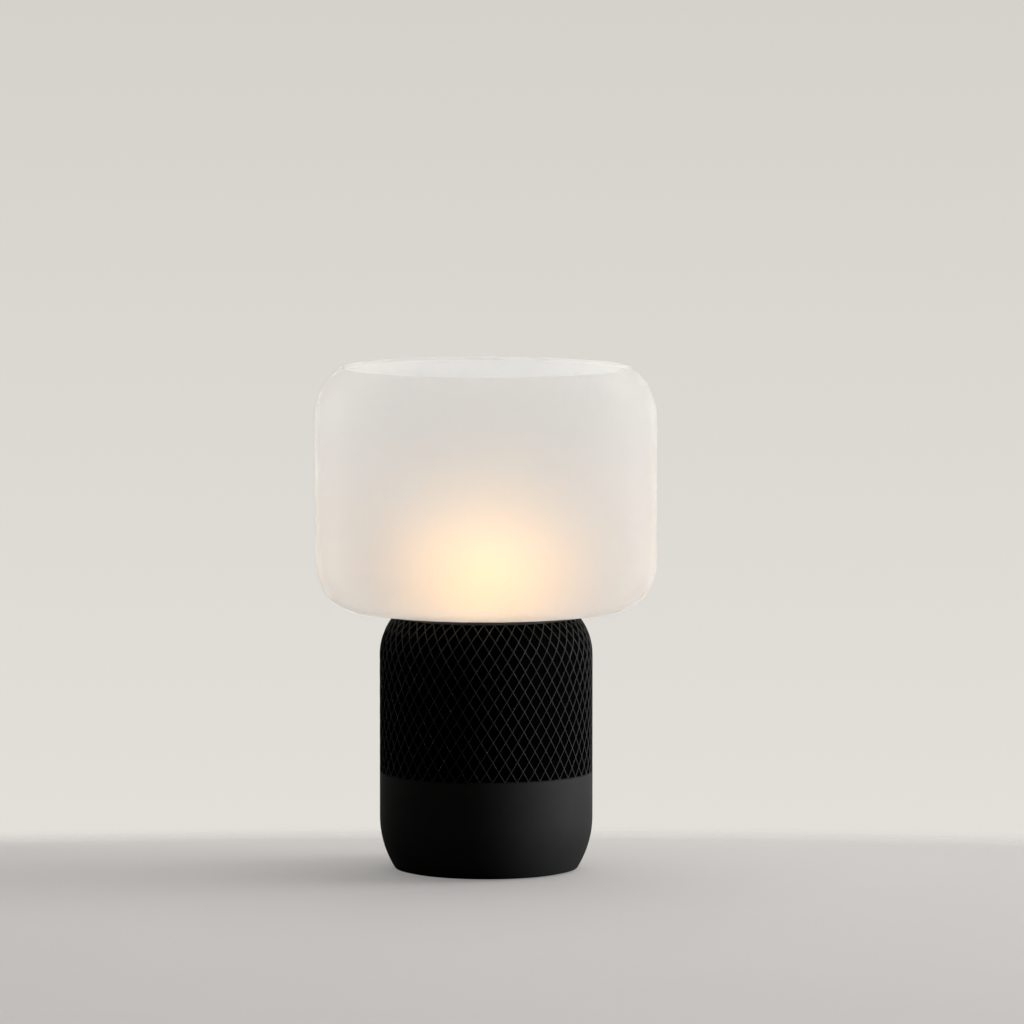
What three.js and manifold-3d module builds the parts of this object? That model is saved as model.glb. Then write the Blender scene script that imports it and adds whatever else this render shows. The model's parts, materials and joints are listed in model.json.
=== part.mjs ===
// A table-lamp speaker: a black cylindrical speaker base with a diamond grille, and a frosted glass
// shade that drops onto a bayonet collar over an opal bulb.
// Millimetres, +Z up. The origin is the centre of the foot, and the front of the speaker faces -Y.
import * as THREE from 'three';
import { mergeVertices } from 'three/addons/utils/BufferGeometryUtils.js';
import Module from 'manifold-3d';

const wasm = await Module();
wasm.setup();

// ---------------------------------------------------------------- driving dimensions
const BASE_R = 68.8; // straight wall of the base
const BASE_BOTTOM_Z = 0.9; // lower edge of the housing, just off the table
const TAPER_Z = 34.6; // below this the wall curves in towards the foot
const TAPER_R = 63; // radius of that curve
const SHOULDER_Z = 139.4; // above this the wall curves in towards the shade
const SHOULDER_R = 38.7;
const BAND_Z = 63.65; // joint between the plain housing and the grille
const GRILLE_TOP_Z = 166;
const SHADE_R = 110;
const SHADE_BOTTOM_Z = 168.7;
const SHADE_TOP_Z = 325.5;
const SHADE_SHOULDER_R = 41; // upper corner, cut off by the open rim
const SHADE_SHOULDER_Z = 292.3;
const SHADE_FOOT_R = 26.7; // lower corner, across
const SHADE_FOOT_H = 33.9; // lower corner, up
const SHADE_HOLE_R = 45.2;
const GLASS = 3;

const WALL = 2.6; // housing
const GRILLE_WALL = 1.8;
const CLOTH_WALL = 0.6;
const GAP = 0.3; // between pieces that touch on the real object
const HALF_GAP = GAP / 2;

const ROUND = 40; // sides of the large shells
const SMALL = 20; // sides of small turned pieces
const TINY = 10; // sides of pins and screws

// ---------------------------------------------------------------- materials
function finish(colour, roughness, metalness = 0, more = {}) {
  return new THREE.MeshStandardMaterial({ color: colour, roughness, metalness, ...more });
}
const MATERIAL = {
  housing: finish(0x151516, 0.55),
  grille: finish(0x1c1c1c, 0.5),
  cloth: finish(0x070707, 0.95),
  innerPlastic: finish(0x232427, 0.6),
  rubber: finish(0x0d0d0d, 0.9),
  glass: finish(0xf1eeea, 0.45, 0, { transparent: true, opacity: 0.8 }),
  opal: finish(0xfff3dc, 0.4),
  whitePlastic: finish(0xeeeeea, 0.45),
  nickel: finish(0xc9c7c0, 0.3, 1),
  brass: finish(0xb48a3c, 0.35, 1),
  steel: finish(0x8d9095, 0.35, 1),
  ferrite: finish(0x2c2c2e, 0.8),
  cone: finish(0x141414, 0.85),
  copper: finish(0xa9623a, 0.4, 1),
  board: finish(0x12402a, 0.5),
  aluminium: finish(0xa7abb0, 0.4, 1),
  clear: finish(0xe8eef0, 0.1, 0, { transparent: true, opacity: 0.5 }),
};

const speaker = new THREE.Group();

function add(name, geometry, material, [x, y, z] = [0, 0, 0]) {
  const mesh = new THREE.Mesh(geometry, material);
  mesh.name = name;
  mesh.position.set(x, y, z);
  speaker.add(mesh);
  return mesh;
}

// ---------------------------------------------------------------- solids and booleans
// A geometry as a manifold-3d solid, with shared vertices merged and collapsed faces dropped.
function solid(geometry) {
  const bare = geometry.index ? geometry.toNonIndexed() : geometry.clone();
  bare.deleteAttribute('normal');
  bare.deleteAttribute('uv');
  const merged = mergeVertices(bare, 1e-4);
  const faces = [];
  const index = merged.index.array;
  for (let i = 0; i < index.length; i += 3) {
    const [a, b, c] = index.slice(i, i + 3);
    if (a !== b && b !== c && c !== a) faces.push(a, b, c);
  }
  return new wasm.Manifold(new wasm.Mesh({
    numProp: 3,
    vertProperties: merged.attributes.position.array,
    triVerts: new Uint32Array(faces),
  }));
}

function geometryOf(shape) {
  const mesh = shape.getMesh();
  return new THREE.BufferGeometry()
    .setAttribute('position', new THREE.BufferAttribute(Float32Array.from(mesh.vertProperties), 3))
    .setIndex(new THREE.BufferAttribute(Uint32Array.from(mesh.triVerts), 1));
}

const joined = (...geometries) => geometries.map(solid).reduce((a, b) => a.add(b));
const cut = (shape, ...tools) => tools.map(solid).reduce((a, b) => a.subtract(b), shape);

// A box from its low corner to its high corner.
function box([x0, y0, z0], [x1, y1, z1]) {
  return new THREE.BoxGeometry(x1 - x0, y1 - y0, z1 - z0)
    .translate((x0 + x1) / 2, (y0 + y1) / 2, (z0 + z1) / 2);
}

// A turned solid about Z from its section, [radius, z] pairs going up the outside. A section that
// doesn't start on the axis closes on itself.
function turned(section, sides = SMALL) {
  const points = section.map(([r, z]) => new THREE.Vector2(r, z));
  if (points[0].x > 0) points.push(points[0].clone());
  return new THREE.LatheGeometry(points, sides).rotateX(Math.PI / 2);
}

// The same about Y, from [radius, y] pairs.
function turnedAboutY(section, sides = SMALL) {
  const points = section.map(([r, y]) => new THREE.Vector2(r, y));
  if (points[0].x > 0) points.push(points[0].clone());
  return new THREE.LatheGeometry(points, sides);
}

const disc = (r, z0, z1, sides) => turned([[0, z0], [r, z0], [r, z1], [0, z1]], sides);
const tube = (r0, r1, z0, z1, sides) => turned([[r0, z0], [r1, z0], [r1, z1], [r0, z1]], sides);
const rod = (r, y0, y1, sides = SMALL) => turnedAboutY([[0, y0], [r, y0], [r, y1], [0, y1]], sides);

// A point at a polar angle in degrees.
function polar(r, degrees) {
  const a = THREE.MathUtils.degToRad(degrees);
  return [r * Math.cos(a), r * Math.sin(a)];
}

// ---------------------------------------------------------------- outer profile of the base
// Radius of the base at a height, set in by an inset from the outer skin.
function baseRadius(z, inset = 0) {
  if (z < TAPER_Z) return BASE_R - TAPER_R + Math.sqrt((TAPER_R - inset) ** 2 - (TAPER_Z - z) ** 2);
  if (z > SHOULDER_Z) {
    return BASE_R - SHOULDER_R + Math.sqrt((SHOULDER_R - inset) ** 2 - (z - SHOULDER_Z) ** 2);
  }
  return BASE_R - inset;
}

// [radius, z] pairs up the skin from z0 to z1, with steps only on the curved stretches.
function skin(z0, z1, inset = 0) {
  const steps = [0, 0.25, 0.5, 0.75, 1];
  const heights = [z0, z1];
  if (z0 < TAPER_Z) heights.push(...steps.map((t) => z0 + (TAPER_Z - z0) * t));
  if (z1 > SHOULDER_Z) heights.push(...steps.map((t) => SHOULDER_Z + (z1 - SHOULDER_Z) * t));
  return [...new Set(heights)]
    .filter((z) => z <= z1)
    .sort((a, b) => a - b)
    .map((z) => [baseRadius(z, inset), z]);
}

const shell = (z0, z1, inset, wall, sides = ROUND) =>
  turned([...skin(z0, z1, inset), ...skin(z0, z1, inset + wall).reverse()], sides);

// ---------------------------------------------------------------- foot and lower housing
const POST_R = 42; // radius of the circle that the housing's posts stand on
const POST_ANGLES = [45, 135, 225, 315];
const PLATE_Z = 1.9;
const PLATE_TOP_Z = 4.9;
const BULKHEAD_Z = 60.2;
const BULKHEAD_TOP_Z = 63.2;

const BUTTON_TRAVEL = 0.8;
const BUTTONS = [
  { name: 'volume_down_button', x: -15, z: 53, r: 4.4 },
  { name: 'play_button', x: 0, z: 53, r: 4.4 },
  { name: 'volume_up_button', x: 15, z: 53, r: 4.4 },
  { name: 'light_button', x: -9, z: 43, r: 3.5 },
  { name: 'pairing_button', x: 9, z: 43, r: 3.5 },
];
const BUTTON_CLEARANCE = 0.35;
const LIGHT_PIPE = { x: 0, z: 43, r: 1.2 };

const BAY = { x: 24, z0: 12, z1: 36, backY: 56 }; // recess for the sockets, at the rear

function makeLowerHousing() {
  let housing = solid(shell(BASE_BOTTOM_Z, BAND_Z - HALF_GAP, 0, WALL));
  for (const angle of POST_ANGLES) {
    const [x, y] = polar(POST_R, angle);
    const post = disc(4, PLATE_TOP_Z + GAP, BULKHEAD_Z - GAP, TINY).translate(x, y, 0);
    const web = box([POST_R, -1.2, 22], [BASE_R - WALL / 2, 1.2, BULKHEAD_Z - GAP])
      .rotateZ(THREE.MathUtils.degToRad(angle));
    housing = housing.add(solid(post)).add(solid(web));
  }
  const bay = box(
    [-BAY.x - GAP, 40, BAY.z0 - GAP],
    [BAY.x + GAP, BASE_R + 5, BAY.z1 + GAP],
  );
  const holes = BUTTONS.map(({ x, z, r }) =>
    rod(r + BUTTON_CLEARANCE, BASE_R / 2, BASE_R + 5).translate(x, 0, z));
  const pipeHole = rod(LIGHT_PIPE.r + GAP, BASE_R / 2, BASE_R + 5, TINY)
    .translate(LIGHT_PIPE.x, 0, LIGHT_PIPE.z);
  add('lower_housing', geometryOf(cut(housing, bay, ...holes, pipeHole)), MATERIAL.housing);
}

function makeFoot() {
  add('foot_ring', tube(49, 55.5, 0, PLATE_Z - GAP, ROUND), MATERIAL.rubber);
  const screwHoles = POST_ANGLES.map((angle) => {
    const [x, y] = polar(POST_R, angle);
    return turned([[0, 1], [3.3, 1], [3.3, 3.4], [1.9, 3.4], [1.9, 6], [0, 6]], TINY).translate(x, y, 0);
  });
  const plate = cut(solid(disc(55.3, PLATE_Z, PLATE_TOP_Z, ROUND)), ...screwHoles);
  add('base_plate', geometryOf(plate), MATERIAL.innerPlastic);
  POST_ANGLES.forEach((angle, i) => {
    const screw = turned([[0, 2.1], [2.9, 2.1], [2.9, 3.1], [1.5, 3.1], [1.5, 4.9], [0, 4.9]], TINY);
    add(`base_screw_${i + 1}`, screw, MATERIAL.steel, [...polar(POST_R, angle), 0]);
  });
}

// ---------------------------------------------------------------- buttons and light pipe
const SWITCH_TOP_Y = 59;
const STEM_Y = SWITCH_TOP_Y + BUTTON_TRAVEL + 0.1; // inner end of a button's stem
const BUTTON_PROUD = 0.5;
const BOARD = 1.6; // thickness of a circuit board
const BUTTON_BOARD_Y = 53.4;

function makeControls() {
  const skinSolid = solid(disc(BASE_R + BUTTON_PROUD, 30, 65, 64));
  for (const { name, x, z, r } of BUTTONS) {
    const cap = rod(r, STEM_Y, BASE_R + 5).translate(x, 0, z);
    const flange = rod(r + 1.2, STEM_Y + 0.9, STEM_Y + 2.3).translate(x, 0, z);
    const shape = joined(cap, flange).intersect(skinSolid);
    add(name, geometryOf(shape), MATERIAL.housing);
    const half = 2.6;
    const dome = rod(1.7, BUTTON_BOARD_Y + BOARD + 1, SWITCH_TOP_Y, TINY).translate(x, 0, z);
    const body = box(
      [x - half, BUTTON_BOARD_Y + BOARD + GAP, z - half],
      [x + half, BUTTON_BOARD_Y + BOARD + 2.4, z + half],
    );
    add(name.replace('button', 'switch'), geometryOf(joined(body, dome)), MATERIAL.steel);
  }
  add(
    'button_board',
    box([-24, BUTTON_BOARD_Y, 38.2], [24, BUTTON_BOARD_Y + BOARD, 59.6]),
    MATERIAL.board,
  );
  const pipeY = Math.sqrt(BASE_R ** 2 - LIGHT_PIPE.r ** 2);
  add(
    'status_light_pipe',
    rod(LIGHT_PIPE.r, BUTTON_BOARD_Y + BOARD + GAP, pipeY, TINY).translate(LIGHT_PIPE.x, 0, LIGHT_PIPE.z),
    MATERIAL.clear,
  );
}

// ---------------------------------------------------------------- socket bay at the rear
const BAY_WALL = 1.8;
const INLET = { x: -7, z: 24, halfWidth: 10, r: 6, pinSpacing: 8.6, pinR: 1.2, depth: 13 };
const JACK = { x0: 7, x1: 21, z0: 17.5, z1: 30.5, depth: 13 };

// A flat-sided slot with round ends, along Y.
function stadium(halfWidth, r, y0, y1) {
  const shape = new THREE.Shape();
  const straight = halfWidth - r;
  shape.absarc(straight, 0, r, -Math.PI / 2, Math.PI / 2, false);
  shape.absarc(-straight, 0, r, Math.PI / 2, Math.PI * 1.5, false);
  return new THREE.ExtrudeGeometry(shape, { depth: y1 - y0, bevelEnabled: false, curveSegments: 6 })
    .rotateX(Math.PI / 2)
    .translate(0, y1, 0);
}

function makeSockets() {
  const tray = solid(box([-BAY.x, 53, BAY.z0], [BAY.x, BASE_R, BAY.z1]))
    .intersect(solid(turned([[0, 1], ...skin(1, 50, GAP), [0, 50]], ROUND)));
  const inside = box(
    [-BAY.x + BAY_WALL, BAY.backY, BAY.z0 + BAY_WALL],
    [BAY.x - BAY_WALL, BASE_R + 5, BAY.z1 - BAY_WALL],
  );
  const inletHole = stadium(INLET.halfWidth + GAP, INLET.r + GAP, 50, 60).translate(INLET.x, 0, INLET.z);
  const jackHole = box([JACK.x0 - GAP, 50, JACK.z0 - GAP], [JACK.x1 + GAP, 60, JACK.z1 + GAP]);
  add('socket_bay', geometryOf(cut(tray, inside, inletHole, jackHole)), MATERIAL.innerPlastic);

  const faceY = BAY.backY + 0.6;
  const inletWall = 1.7;
  const inlet = cut(
    solid(stadium(INLET.halfWidth, INLET.r, faceY - INLET.depth - 3, faceY)),
    stadium(INLET.halfWidth - inletWall, INLET.r - inletWall, faceY - INLET.depth, faceY + 1),
  );
  add('mains_inlet', geometryOf(inlet), MATERIAL.innerPlastic, [INLET.x, 0, INLET.z]);
  ['left', 'right'].forEach((side, i) => {
    const x = INLET.x + (i - 0.5) * INLET.pinSpacing;
    const pin = rod(INLET.pinR, faceY - INLET.depth + GAP, faceY - 2.5, TINY);
    add(`inlet_pin_${side}`, pin, MATERIAL.nickel, [x, 0, INLET.z]);
  });

  const jack = cut(
    solid(box([JACK.x0, faceY - JACK.depth - 3, JACK.z0], [JACK.x1, faceY, JACK.z1])),
    box([JACK.x0 + 1.1, faceY - JACK.depth, JACK.z0 + 2.4], [JACK.x1 - 1.1, faceY + 1, JACK.z1 - 2.4]),
  );
  add('network_jack', geometryOf(jack), MATERIAL.steel);
}

// ---------------------------------------------------------------- electronics
function makeElectronics() {
  const halfX = 44;
  const halfY = 22;
  const powerZ = 10;
  const mainZ = 38;
  add('power_board', box([-halfX, -halfY, powerZ], [halfX, halfY, powerZ + BOARD]), MATERIAL.board);
  add('main_board', box([-halfX, -halfY, mainZ], [halfX, halfY, mainZ + BOARD]), MATERIAL.board);

  const onPower = powerZ + BOARD + GAP;
  const core = box([-34, -11, onPower], [-10, 11, onPower + 19]);
  const winding = box([-30, -14, onPower + 4], [-14, 14, onPower + 15]);
  add('transformer', geometryOf(joined(core, winding)), MATERIAL.ferrite);
  [8, 24].forEach((x, i) => {
    add(`capacitor_${i + 1}`, disc(6.5, onPower, onPower + 21), MATERIAL.aluminium, [x, -8, 0]);
  });

  const onMain = mainZ + BOARD + GAP;
  const finCount = 7;
  const finPitch = 6;
  let sink = solid(box([-22, -14, onMain], [22, 14, onMain + 4]));
  for (let i = 0; i < finCount; i++) {
    const x = (i - (finCount - 1) / 2) * finPitch;
    sink = sink.add(solid(box([x - 0.8, -14, onMain + 3], [x + 0.8, 14, onMain + 16])));
  }
  add('heat_sink', geometryOf(sink), MATERIAL.aluminium);
  add('radio_shield', box([27, -10, onMain], [41, 10, onMain + 3.5]), MATERIAL.nickel);
}

// ---------------------------------------------------------------- speaker chamber and drivers
const BAFFLE = { y0: -47, y1: -43.4, z1: 158.4 };
const CHAMBER_R = 54;
const CHAMBER_TOP_Z = 124;
const CHAMBER_WALL = 3;
const WOOFER_Z = 93.8;
const TWEETER_Z = 145;
const LEAD = { x: 58.6, y: 5, r: 1.6 }; // riser that carries the lamp's supply past the chamber
const PILLARS = [[39.5, 14.4], [-39.5, 14.4], [0, 42]]; // legs of the top deck, on the chamber

function makeChamber() {
  const leadHole = disc(LEAD.r + 0.9, 50, 70, TINY).translate(LEAD.x, LEAD.y, 0);
  const bulkhead = cut(solid(disc(65.7, BULKHEAD_Z, BULKHEAD_TOP_Z, ROUND)), leadHole);
  add('bulkhead', geometryOf(bulkhead), MATERIAL.innerPlastic);

  const z0 = BULKHEAD_TOP_Z + GAP;
  const front = BAFFLE.y1 + GAP;
  const outside = solid(disc(CHAMBER_R, z0, CHAMBER_TOP_Z, ROUND))
    .subtract(solid(box([-80, -80, 0], [80, front, 200])));
  const inside = disc(CHAMBER_R - CHAMBER_WALL, z0 + CHAMBER_WALL, CHAMBER_TOP_Z - CHAMBER_WALL, ROUND);
  add('rear_chamber', geometryOf(cut(outside, inside)), MATERIAL.innerPlastic);

  const outline = new THREE.Shape([
    [-42, z0], [42, z0], [42, 126], [24, BAFFLE.z1], [-24, BAFFLE.z1], [-42, 126],
  ].map(([x, z]) => new THREE.Vector2(x, z)));
  const panel = new THREE.ExtrudeGeometry(outline, { depth: BAFFLE.y1 - BAFFLE.y0, bevelEnabled: false })
    .rotateX(Math.PI / 2)
    .translate(0, BAFFLE.y1, 0);
  const wooferHole = rod(26.9, -60, -30, 24).translate(0, 0, WOOFER_Z);
  const tweeterHole = rod(9.6, -60, -30).translate(0, 0, TWEETER_Z);
  add('front_baffle', geometryOf(cut(solid(panel), wooferHole, tweeterHole)), MATERIAL.innerPlastic);
}

// Drivers are turned about Y and face -Y. Their sections are [radius, y] pairs.
function makeWoofer() {
  const at = [0, 0, WOOFER_Z];
  add('woofer_basket', turnedAboutY([
    [25, -49.3], [29.8, -49.3], [29.8, -47.3], [26.5, -47.3], [26.5, -43], [22.2, -30], [22.2, -22.3],
    [20.4, -22.3], [20.4, -30.4], [25, -43.6],
  ], 24), MATERIAL.steel, at);
  add('woofer_magnet', turnedAboutY([
    [0, -24], [7.5, -24], [7.5, -10], [9.8, -10], [9.8, -21.7], [22, -21.7], [22, -6], [0, -6],
  ], 24), MATERIAL.ferrite, at);
  add('woofer_cone', turnedAboutY([
    [20.9, -46.9], [21.9, -46.9], [21.9, -46], [10.4, -31.5], [9.2, -31.5], [9.2, -32.5],
  ], 24), MATERIAL.cone, at);
  add('dust_cap', turnedAboutY([
    [0, -39.9], [4.5, -39.1], [8.4, -36.9], [11.2, -35.2], [9.9, -34.6], [7.6, -36.2], [4.2, -38.2], [0, -38.9],
  ], 24), MATERIAL.cone, at);
  add('voice_coil', turnedAboutY([
    [8.1, -32.2], [8.9, -32.2], [8.9, -15], [8.1, -15],
  ]), MATERIAL.copper, at);
  add('woofer_surround', turnedAboutY([
    [22.2, -46.9], [22.5, -48.1], [23.45, -48.7], [24.4, -48.1], [24.7, -46.9],
    [24.1, -46.9], [23.9, -47.7], [23.45, -48], [23, -47.7], [22.8, -46.9],
  ], 24), MATERIAL.rubber, at);
  add('woofer_spider', turnedAboutY([
    [9.5, -26.3], [12, -25.3], [15, -26.3], [18, -25.3], [20.1, -26.1],
    [20.1, -25.5], [18, -24.7], [15, -25.7], [12, -24.7], [9.5, -25.7],
  ], 24), MATERIAL.cloth, at);
}

function makeTweeter() {
  const at = [0, 0, TWEETER_Z];
  add('tweeter_flange', turnedAboutY([
    [9.4, -48.4], [11.5, -49.3], [13, -49.3], [13, -47.3], [9.4, -47.3],
  ]), MATERIAL.innerPlastic, at);
  add('tweeter_dome', turnedAboutY([
    [0, -47.4], [4.6, -46.8], [8.8, -44.6], [8.8, -43.8], [4.4, -46], [0, -46.6],
  ]), MATERIAL.cloth, at);
  add('tweeter_magnet', turnedAboutY([
    [0, -43.1], [12, -43.1], [12, -34], [0, -34],
  ]), MATERIAL.ferrite, at);
}

// ---------------------------------------------------------------- grille, cloth and deck
const DECK = { floorZ0: 159, floorZ: 162, rimZ: 168, wellR: 21, wellZ: 128, recessR: 50 };

function makeGrille() {
  add('grille', shell(BAND_Z + HALF_GAP, GRILLE_TOP_Z, 0, GRILLE_WALL), MATERIAL.grille);
  add(
    'grille_cloth',
    shell(BAND_Z + HALF_GAP, GRILLE_TOP_Z - 2, GRILLE_WALL + GAP, CLOTH_WALL),
    MATERIAL.cloth,
  );
}

function makeDeck() {
  const { floorZ0, floorZ, rimZ, wellR, wellZ, recessR } = DECK;
  const edgeZ = GRILLE_TOP_Z + GAP;
  const inner = baseRadius(GRILLE_TOP_Z, GRILLE_WALL + GAP + CLOTH_WALL + 2 * GAP);
  const wall = 2.5;
  const hole = 6;
  const section = turned([
    [hole, wellZ], [wellR + wall, wellZ], [wellR + wall, floorZ0], [inner, floorZ0],
    [inner, edgeZ], [baseRadius(edgeZ), edgeZ], [baseRadius(rimZ), rimZ], [recessR, rimZ],
    [recessR, floorZ], [wellR, floorZ], [wellR, wellZ + wall], [hole, wellZ + wall],
  ], ROUND);
  const pillars = PILLARS.map(([x, y]) =>
    disc(4, CHAMBER_TOP_Z + GAP, floorZ0 + 1, TINY).translate(x, y, 0));
  add('top_deck', geometryOf(joined(section, ...pillars)), MATERIAL.innerPlastic);
}

// ---------------------------------------------------------------- bayonet
const LUG_COUNT = 3;
const LUG_DEG = 16;
const LEDGE_GAP_DEG = 24;
const COLLAR = { r0: 33, r1: 37.4, ledgeR: 40.4, z0: DECK.floorZ + GAP, ledgeZ: 167.2, z1: 170 };
const ADAPTER = { r0: 41, neckR: 44.8, flangeR: 49.2, z0: 164.1, flangeZ: 168.4, z1: 176, lugR: 38, lugZ: 166.6 };

// A turned sector from angle a to b in degrees, between two radii and two heights.
function sector(r0, r1, z0, z1, a, b) {
  const shape = new THREE.Shape();
  const [start, end] = [a, b].map(THREE.MathUtils.degToRad);
  shape.absarc(0, 0, r1, start, end, false);
  shape.absarc(0, 0, r0, end, start, true);
  return new THREE.ExtrudeGeometry(shape, { depth: z1 - z0, bevelEnabled: false, curveSegments: 3 })
    .translate(0, 0, z0);
}

const lugAngles = Array.from({ length: LUG_COUNT }, (_, i) => 90 + i * 360 / LUG_COUNT);

function makeBayonetCollar() {
  const { r0, r1, ledgeR, z0, ledgeZ, z1 } = COLLAR;
  let collar = solid(turned([[30, z0], [r1, z0], [r1, z1], [r0, z1], [r0, z0 + 1.6], [30, z0 + 1.6]], ROUND));
  for (const angle of lugAngles) {
    const from = angle + LEDGE_GAP_DEG / 2;
    const to = angle + 360 / LUG_COUNT - LEDGE_GAP_DEG / 2;
    collar = collar.add(solid(sector(r1 - 1, ledgeR, ledgeZ, z1, from, to)));
  }
  add('bayonet_collar', geometryOf(collar), MATERIAL.innerPlastic);
}

// ---------------------------------------------------------------- lamp holder and bulb
const HOLDER = { z0: DECK.wellZ + 2.5 + GAP, z1: 161, r: 13.5, bore: 8, floor: 3.8 };

function makeLampHolder() {
  const { z0, z1, r, bore, floor } = HOLDER;
  add('lamp_holder', turned([
    [0, z0], [18, z0], [18, z0 + 2], [r, z0 + 4], [r, z1], [bore, z1], [bore, z0 + floor], [0, z0 + floor],
  ], SMALL), MATERIAL.whitePlastic);
  add('thread_sleeve', tube(7.2, bore - GAP, z0 + floor + GAP, z1 - 2, SMALL), MATERIAL.brass);
  add('centre_contact', disc(2, z0 + floor + GAP, z0 + floor + 1.4, TINY), MATERIAL.brass);

  const route = new THREE.CatmullRomCurve3([
    [40, 5, 14], [49, 5, 17], [56.5, 5, 27], [LEAD.x, LEAD.y, 42], [LEAD.x, LEAD.y, 62],
    [LEAD.x, LEAD.y, 90], [LEAD.x, LEAD.y, 117], [56.5, 4.6, 127.5], [49, 3.6, 130.4], [38, 2.2, 128.4],
    [28, 1, 126.1], [18, 0.4, 125.9], [9, 0, 125.8], [3.6, 0, 126.2], [1, 0, 128], [0.6, 0, 130.3],
  ].map((p) => new THREE.Vector3(...p)));
  const section = new THREE.Shape().absarc(0, 0, LEAD.r, 0, Math.PI * 2, false);
  add('lamp_lead', new THREE.ExtrudeGeometry(section, {
    extrudePath: route, steps: 26, curveSegments: 4, bevelEnabled: false,
  }), MATERIAL.rubber);
}

const BULB = { tipZ: 136.4, capR: 6.9, capZ: 161.5, neckZ: 182, ballR: 22.5, ballZ: 190, wall: 1.2 };

function makeBulb() {
  const { tipZ, capR, capZ, neckZ, ballR, ballZ, wall } = BULB;
  add('bulb_cap', turned([
    [0, tipZ], [3, tipZ], [3, tipZ + 1.6], [capR, tipZ + 3.4], [capR, capZ], [0, capZ],
  ], SMALL), MATERIAL.nickel);
  const seamR = Math.sqrt(ballR ** 2 - (ballZ - neckZ) ** 2);
  add('bulb_body', turned([
    [0, capZ + GAP], [8, capZ + GAP], [9.5, 167], [13.5, 173], [18, 178], [seamR, neckZ], [0, neckZ],
  ], SMALL), MATERIAL.whitePlastic);

  const low = -Math.asin((ballZ - neckZ - GAP) / ballR);
  const dome = (r, from, steps) => Array.from({ length: steps + 1 }, (_, i) => {
    const a = from + (Math.PI / 2 - from) * i / steps;
    return [i === steps ? 0 : r * Math.cos(a), ballZ + r * Math.sin(a)];
  });
  const innerR = ballR - wall;
  const innerLow = -Math.asin((ballZ - neckZ - GAP) / innerR);
  const section = [...dome(innerR, innerLow, 5).reverse(), ...dome(ballR, low, 7)];
  add('bulb_dome', turned(section, 24), MATERIAL.opal);
  add('led_module', disc(15, neckZ + GAP, neckZ + 2.2), MATERIAL.aluminium);
}

// ---------------------------------------------------------------- shade
// Points along a quarter of a rounded corner, from the wall towards the axis.
function corner(across, up, power, steps) {
  return Array.from({ length: steps + 1 }, (_, i) => {
    const a = (i / steps) * Math.PI / 2;
    return [across * (Math.cos(a) ** power - 1), up * (1 - Math.sin(a) ** power)];
  });
}

function makeShade() {
  const power = 0.93; // slightly squarer than an ellipse
  const outerFoot = corner(SHADE_FOOT_R, SHADE_FOOT_H, power, 6)
    .map(([dr, dz]) => [SHADE_R + dr, SHADE_BOTTOM_Z + dz]).reverse();
  const innerFoot = corner(SHADE_FOOT_R - GLASS, SHADE_FOOT_H - GLASS, power, 5)
    .map(([dr, dz]) => [SHADE_R - GLASS + dr, SHADE_BOTTOM_Z + GLASS + dz]);
  const end = Math.asin((SHADE_TOP_Z - SHADE_SHOULDER_Z) / SHADE_SHOULDER_R);
  const arc = (inset, steps) => Array.from({ length: steps + 1 }, (_, i) => {
    const a = (end * i) / steps;
    const r = SHADE_SHOULDER_R - inset;
    return [SHADE_R - SHADE_SHOULDER_R + r * Math.cos(a), SHADE_SHOULDER_Z + r * Math.sin(a)];
  });
  const section = [
    [SHADE_HOLE_R, SHADE_BOTTOM_Z], ...outerFoot, ...arc(0, 5),
    ...arc(GLASS, 4).reverse(), ...innerFoot, [SHADE_HOLE_R, SHADE_BOTTOM_Z + GLASS],
  ];
  add('glass_shade', turned(section, ROUND), MATERIAL.glass);
}

function makeShadeMount() {
  const { r0, neckR, flangeR, z0, flangeZ, z1, lugR, lugZ } = ADAPTER;
  let adapter = solid(turned([
    [r0, z0], [flangeR, z0], [flangeR, flangeZ], [neckR, flangeZ], [neckR, z1], [r0, z1],
  ], ROUND));
  for (const angle of lugAngles) {
    const lug = sector(lugR, r0 + 1, z0, lugZ, angle - LUG_DEG / 2, angle + LUG_DEG / 2);
    adapter = adapter.add(solid(lug));
  }
  add('shade_adapter', geometryOf(adapter), MATERIAL.innerPlastic);
  add('shade_clamp_ring', tube(neckR + GAP, 51, SHADE_BOTTOM_Z + GLASS + GAP, 175.2, ROUND), MATERIAL.innerPlastic);
  add('seat_washer', tube(41.2, 48.5, DECK.floorZ + GAP, z0 - GAP, ROUND), MATERIAL.rubber);
}

// ---------------------------------------------------------------- assembly
makeFoot();
makeLowerHousing();
makeControls();
makeSockets();
makeElectronics();
makeChamber();
makeWoofer();
makeTweeter();
makeGrille();
makeDeck();
makeBayonetCollar();
makeLampHolder();
makeBulb();
makeShade();
makeShadeMount();

export default speaker;
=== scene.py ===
import json
import math
import bmesh
import bpy
from mathutils import Matrix, Vector


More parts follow.
